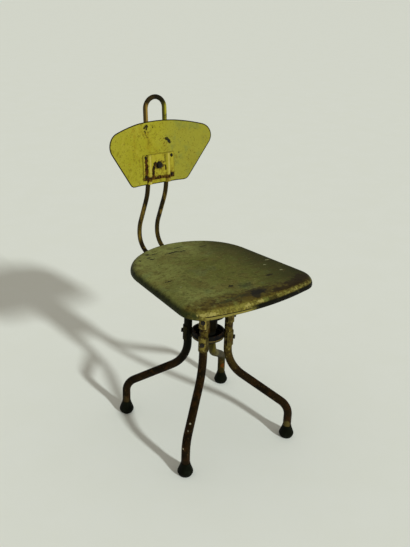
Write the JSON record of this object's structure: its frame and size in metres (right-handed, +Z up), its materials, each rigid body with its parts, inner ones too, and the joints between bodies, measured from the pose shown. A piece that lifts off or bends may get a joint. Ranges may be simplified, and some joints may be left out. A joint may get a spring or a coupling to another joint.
{
  "type": "industrial swivel chair",
  "caption": "Industrial swivel chair: bent tube legs on a bolted hub, screw-raised pressed steel seat and a wide back plate sliding on a bent rod hairpin.",
  "frame": {"origin": "middle of the bounding box, on the floor under the feet", "axes": "+Z up, the chair faces -Y, the sitter's left is +X; the swivel axis is parallel to Z, a little in front of the origin"},
  "size_m": [0.382, 0.4942, 0.8379],
  "materials": {
    "tube_brown": "worn brown paint over steel, rust showing at the wear",
    "saddle_olive": "worn olive yellow paint with rust",
    "hub_olive": "dull olive grey paint with rust",
    "column_brown": "brown, oily",
    "fastener_dark": "dark rusted steel",
    "rubber_black": "matt black",
    "screw_steel": "greased steel",
    "nut_bronze": "dull bronze",
    "seat_green": "worn grey green paint, brown at the front edge",
    "under_grey": "dull grey green paint",
    "back_mustard": "worn mustard yellow paint with chips",
    "rod_brown": "brown rod with worn tan sides"
  },
  "bodies": {
    "base": {"leg_rear_left": "tube_brown", "foot_rear_left": "rubber_black", "saddle_lower_rear_left": "saddle_olive", "saddle_upper_rear_left": "saddle_olive", "leg_rear_right": "tube_brown", "foot_rear_right": "rubber_black", "saddle_lower_rear_right": "saddle_olive", "saddle_upper_rear_right": "saddle_olive", "leg_front_right": "tube_brown", "foot_front_right": "rubber_black", "saddle_lower_front_right": "saddle_olive", "saddle_upper_front_right": "saddle_olive", "leg_front_left": "tube_brown", "foot_front_left": "rubber_black", "saddle_lower_front_left": "saddle_olive", "saddle_upper_front_left": "saddle_olive", "leg_bolts_lower": "fastener_dark", "leg_nuts_lower": "fastener_dark", "leg_bolts_upper": "fastener_dark", "leg_nuts_upper": "fastener_dark", "hub_lower_dish": "hub_olive", "hub_upper_dish": "hub_olive", "hub_sleeve": "column_brown", "hub_collar": "column_brown", "spindle_nut": "nut_bronze"},
    "spindle": {"spindle_screw": "screw_steel", "spindle_stop_ring": "screw_steel", "thrust_washer": "nut_bronze"},
    "seat": {"seat_pan": "seat_green", "seat_rail_left": "under_grey", "seat_rail_right": "under_grey", "carrier_plate": "under_grey", "seat_flange": "under_grey", "flange_bolts": "fastener_dark", "flange_nuts": "fastener_dark", "clamp_weld_nut": "fastener_dark", "rod_clamp_plate": "under_grey"},
    "hand_screw": {"rod_hand_screw": "fastener_dark"},
    "back_frame": {"back_hairpin": "rod_brown", "rod_stop_bar": "rod_brown"},
    "backrest": {"back_panel": "back_mustard", "back_front_plate": "back_mustard", "back_rear_plate": "back_mustard", "back_rivets": "fastener_dark", "back_bolt": "fastener_dark", "back_bolt_washer": "fastener_dark"},
    "wing_nut": {"back_wing_nut": "fastener_dark"}
  },
  "joints": [
    {"name": "seat_rise", "type": "slide", "parent": "base", "child": "spindle", "axis": [0, 0, 1], "range_m": [-0.048, 0.048]},
    {"name": "seat_turn", "type": "hinge", "parent": "spindle", "child": "seat", "pos_m": [0, -0.03722, 0.43], "axis": [0, 0, 1], "range_deg": [-2880, 2880]},
    {"name": "back_depth", "type": "slide", "parent": "seat", "child": "back_frame", "axis": [0, 1, 0], "range_m": [-0.025, 0.03]},
    {"name": "back_height", "type": "slide", "parent": "back_frame", "child": "backrest", "axis": [0, 0.0698, 0.9976], "range_m": [0, 0.1]},
    {"name": "wing_nut_turn", "type": "hinge", "parent": "backrest", "child": "wing_nut", "pos_m": [0, 0.20224, 0.66139], "axis": [0, 0.9976, -0.0698], "range_deg": [0, 720]},
    {"name": "hand_screw_turn", "type": "hinge", "parent": "seat", "child": "hand_screw", "pos_m": [0, 0.10778, 0.415], "axis": [0, 0, 1], "range_deg": [0, 720]}
  ],
  "couplings": [
    {"joint": "seat_rise", "follows": "seat_turn", "m_per_rad": 0.00095493}
  ]
}
